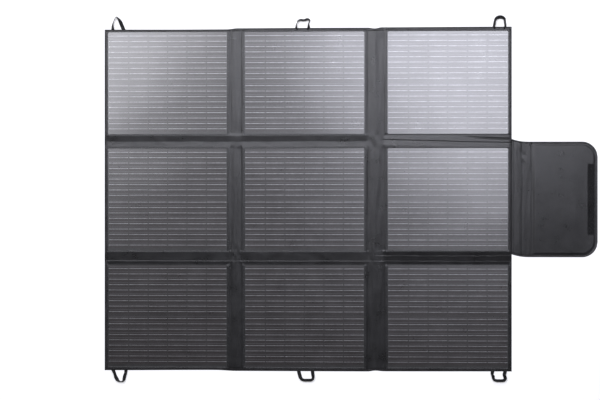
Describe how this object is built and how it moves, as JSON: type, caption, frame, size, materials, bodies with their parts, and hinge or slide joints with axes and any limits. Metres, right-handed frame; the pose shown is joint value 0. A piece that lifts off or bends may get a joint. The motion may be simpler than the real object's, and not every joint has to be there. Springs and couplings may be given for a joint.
{
  "type": "folding solar panel",
  "caption": "Folding camping solar blanket: rigid laminated tiles in a cloth mat, with webbing loops and a closing flap.",
  "frame": {"origin": "back of the centre tile, in its middle", "axes": "+X to the right towards the closing flap, +Y to the top edge, +Z out of the cells"},
  "size_m": [1.663, 1.2386, 0.0042],
  "materials": {
    "mat_cloth": "woven, matt",
    "webbing": "woven tape",
    "touch_fastener": "hooks and loops",
    "laminate": "glossy film",
    "cell": "dark, glossy",
    "ribbon": "tinned",
    "stiffener": "matt",
    "potting": "matt",
    "gland": "matt"
  },
  "bodies": {
    "tile_top_left": {"cover_top_left": "mat_cloth", "laminate_top_left": "laminate", "cells_top_left": "cell", "ribbons_top_left": "ribbon"},
    "tile_top_centre": {"cover_top_centre": "mat_cloth", "laminate_top_centre": "laminate", "cells_top_centre": "cell", "ribbons_top_centre": "ribbon"},
    "tile_top_right": {"cover_top_right": "mat_cloth", "laminate_top_right": "laminate", "cells_top_right": "cell", "ribbons_top_right": "ribbon"},
    "spine_top_left": {"spine_top_left": "mat_cloth"},
    "spine_top_right": {"spine_top_right": "mat_cloth"},
    "tile_middle_left": {"cover_middle_left": "mat_cloth", "laminate_middle_left": "laminate", "cells_middle_left": "cell", "ribbons_middle_left": "ribbon"},
    "tile_middle_centre": {"cover_middle_centre": "mat_cloth", "laminate_middle_centre": "laminate", "cells_middle_centre": "cell", "ribbons_middle_centre": "ribbon", "loop_strip": "touch_fastener", "diode_module": "potting", "cable_gland": "gland"},
    "tile_middle_right": {"cover_middle_right": "mat_cloth", "laminate_middle_right": "laminate", "cells_middle_right": "cell", "ribbons_middle_right": "ribbon"},
    "spine_middle_left": {"spine_middle_left": "mat_cloth"},
    "spine_middle_right": {"spine_middle_right": "mat_cloth"},
    "tile_bottom_left": {"cover_bottom_left": "mat_cloth", "laminate_bottom_left": "laminate", "cells_bottom_left": "cell", "ribbons_bottom_left": "ribbon"},
    "tile_bottom_centre": {"cover_bottom_centre": "mat_cloth", "laminate_bottom_centre": "laminate", "cells_bottom_centre": "cell", "ribbons_bottom_centre": "ribbon"},
    "tile_bottom_right": {"cover_bottom_right": "mat_cloth", "laminate_bottom_right": "laminate", "cells_bottom_right": "cell", "ribbons_bottom_right": "ribbon"},
    "spine_bottom_left": {"spine_bottom_left": "mat_cloth"},
    "spine_bottom_right": {"spine_bottom_right": "mat_cloth"},
    "flap_spine": {"flap_spine": "mat_cloth"},
    "flap": {"flap_cover": "mat_cloth", "flap_board": "stiffener", "hook_strip": "touch_fastener"},
    "strap_top_left": {"strap_top_left": "webbing"},
    "strap_top_centre": {"strap_top_centre": "webbing"},
    "strap_top_right": {"strap_top_right": "webbing"},
    "strap_bottom_left": {"strap_bottom_left": "webbing"},
    "strap_bottom_centre": {"strap_bottom_centre": "webbing"},
    "strap_bottom_right": {"strap_bottom_right": "webbing"}
  },
  "joints": [
    {"name": "fold_top_row", "type": "hinge", "parent": "tile_middle_centre", "child": "tile_top_centre", "pos_m": [0, 0.197, 0.0051], "axis": [1, 0, 0], "range_deg": [0, 180]},
    {"name": "fold_bottom_row", "type": "hinge", "parent": "tile_middle_centre", "child": "tile_bottom_centre", "pos_m": [0, -0.197, 0.0081], "axis": [-1, 0, 0], "range_deg": [0, 180]},
    {"name": "fold_left_column", "type": "hinge", "parent": "tile_middle_centre", "child": "spine_middle_left", "pos_m": [-0.2149, 0, 0.0018], "axis": [0, 1, 0], "range_deg": [0, 90]},
    {"name": "left_column_outer_crease", "type": "hinge", "parent": "spine_middle_left", "child": "tile_middle_left", "pos_m": [-0.2491, 0, 0.0018], "axis": [0, 1, 0], "range_deg": [0, 90]},
    {"name": "fold_right_column", "type": "hinge", "parent": "tile_middle_centre", "child": "spine_middle_right", "pos_m": [0.2154, 0, 0.0018], "axis": [0, -1, 0], "range_deg": [0, 90]},
    {"name": "right_column_outer_crease", "type": "hinge", "parent": "spine_middle_right", "child": "tile_middle_right", "pos_m": [0.2676, 0, 0.0018], "axis": [0, -1, 0], "range_deg": [0, 90]},
    {"name": "top_row_crease_left", "type": "hinge", "parent": "tile_middle_left", "child": "tile_top_left", "pos_m": [-0.464, 0.197, 0.0051], "axis": [1, 0, 0], "range_deg": [0, 180]},
    {"name": "top_row_crease_right", "type": "hinge", "parent": "tile_middle_right", "child": "tile_top_right", "pos_m": [0.483, 0.197, 0.0051], "axis": [1, 0, 0], "range_deg": [0, 180]},
    {"name": "top_row_crease_left_spine", "type": "hinge", "parent": "spine_middle_left", "child": "spine_top_left", "pos_m": [-0.232, 0.197, 0.0051], "axis": [1, 0, 0], "range_deg": [0, 180], "deforming": ["spine_top_left"]},
    {"name": "top_row_crease_right_spine", "type": "hinge", "parent": "spine_middle_right", "child": "spine_top_right", "pos_m": [0.2415, 0.197, 0.0051], "axis": [1, 0, 0], "range_deg": [0, 180], "deforming": ["spine_top_right"]},
    {"name": "bottom_row_crease_left", "type": "hinge", "parent": "tile_middle_left", "child": "tile_bottom_left", "pos_m": [-0.464, -0.197, 0.0081], "axis": [-1, 0, 0], "range_deg": [0, 180]},
    {"name": "bottom_row_crease_right", "type": "hinge", "parent": "tile_middle_right", "child": "tile_bottom_right", "pos_m": [0.483, -0.197, 0.0081], "axis": [-1, 0, 0], "range_deg": [0, 180]},
    {"name": "bottom_row_crease_left_spine", "type": "hinge", "parent": "spine_middle_left", "child": "spine_bottom_left", "pos_m": [-0.232, -0.197, 0.0081], "axis": [-1, 0, 0], "range_deg": [0, 180], "deforming": ["spine_bottom_left"]},
    {"name": "bottom_row_crease_right_spine", "type": "hinge", "parent": "spine_middle_right", "child": "spine_bottom_right", "pos_m": [0.2415, -0.197, 0.0081], "axis": [-1, 0, 0], "range_deg": [0, 180], "deforming": ["spine_bottom_right"]},
    {"name": "fold_flap", "type": "hinge", "parent": "tile_middle_right", "child": "flap_spine", "pos_m": [0.7055, 0, 0.0018], "axis": [0, -1, 0], "range_deg": [0, 90]},
    {"name": "flap_outer_crease", "type": "hinge", "parent": "flap_spine", "child": "flap", "pos_m": [0.7649, 0, 0.0018], "axis": [0, -1, 0], "range_deg": [0, 90]},
    {"name": "tuck_top_left_strap", "type": "hinge", "parent": "tile_top_left", "child": "strap_top_left", "pos_m": [-0.6335, 0.579, 0], "axis": [-1, 0, 0], "range_deg": [0, 180]},
    {"name": "tuck_top_centre_strap", "type": "hinge", "parent": "tile_top_centre", "child": "strap_top_centre", "pos_m": [0, 0.579, 0], "axis": [-1, 0, 0], "range_deg": [0, 180]},
    {"name": "tuck_top_right_strap", "type": "hinge", "parent": "tile_top_right", "child": "strap_top_right", "pos_m": [0.6525, 0.579, 0], "axis": [-1, 0, 0], "range_deg": [0, 180]},
    {"name": "tuck_bottom_left_strap", "type": "hinge", "parent": "tile_bottom_left", "child": "strap_bottom_left", "pos_m": [-0.6335, -0.579, 0], "axis": [1, 0, 0], "range_deg": [0, 180]},
    {"name": "tuck_bottom_centre_strap", "type": "hinge", "parent": "tile_bottom_centre", "child": "strap_bottom_centre", "pos_m": [0, -0.579, 0], "axis": [1, 0, 0], "range_deg": [0, 180]},
    {"name": "tuck_bottom_right_strap", "type": "hinge", "parent": "tile_bottom_right", "child": "strap_bottom_right", "pos_m": [0.6525, -0.579, 0], "axis": [1, 0, 0], "range_deg": [0, 180]}
  ],
  "couplings": [
    {"joint": "left_column_outer_crease", "follows": "fold_left_column", "ratio": 1},
    {"joint": "right_column_outer_crease", "follows": "fold_right_column", "ratio": 1},
    {"joint": "top_row_crease_left", "follows": "fold_top_row", "ratio": 1},
    {"joint": "top_row_crease_right", "follows": "fold_top_row", "ratio": 1},
    {"joint": "top_row_crease_left_spine", "follows": "fold_top_row", "ratio": 1},
    {"joint": "top_row_crease_right_spine", "follows": "fold_top_row", "ratio": 1},
    {"joint": "bottom_row_crease_left", "follows": "fold_bottom_row", "ratio": 1},
    {"joint": "bottom_row_crease_right", "follows": "fold_bottom_row", "ratio": 1},
    {"joint": "bottom_row_crease_left_spine", "follows": "fold_bottom_row", "ratio": 1},
    {"joint": "bottom_row_crease_right_spine", "follows": "fold_bottom_row", "ratio": 1},
    {"joint": "flap_outer_crease", "follows": "fold_flap", "ratio": 1}
  ]
}
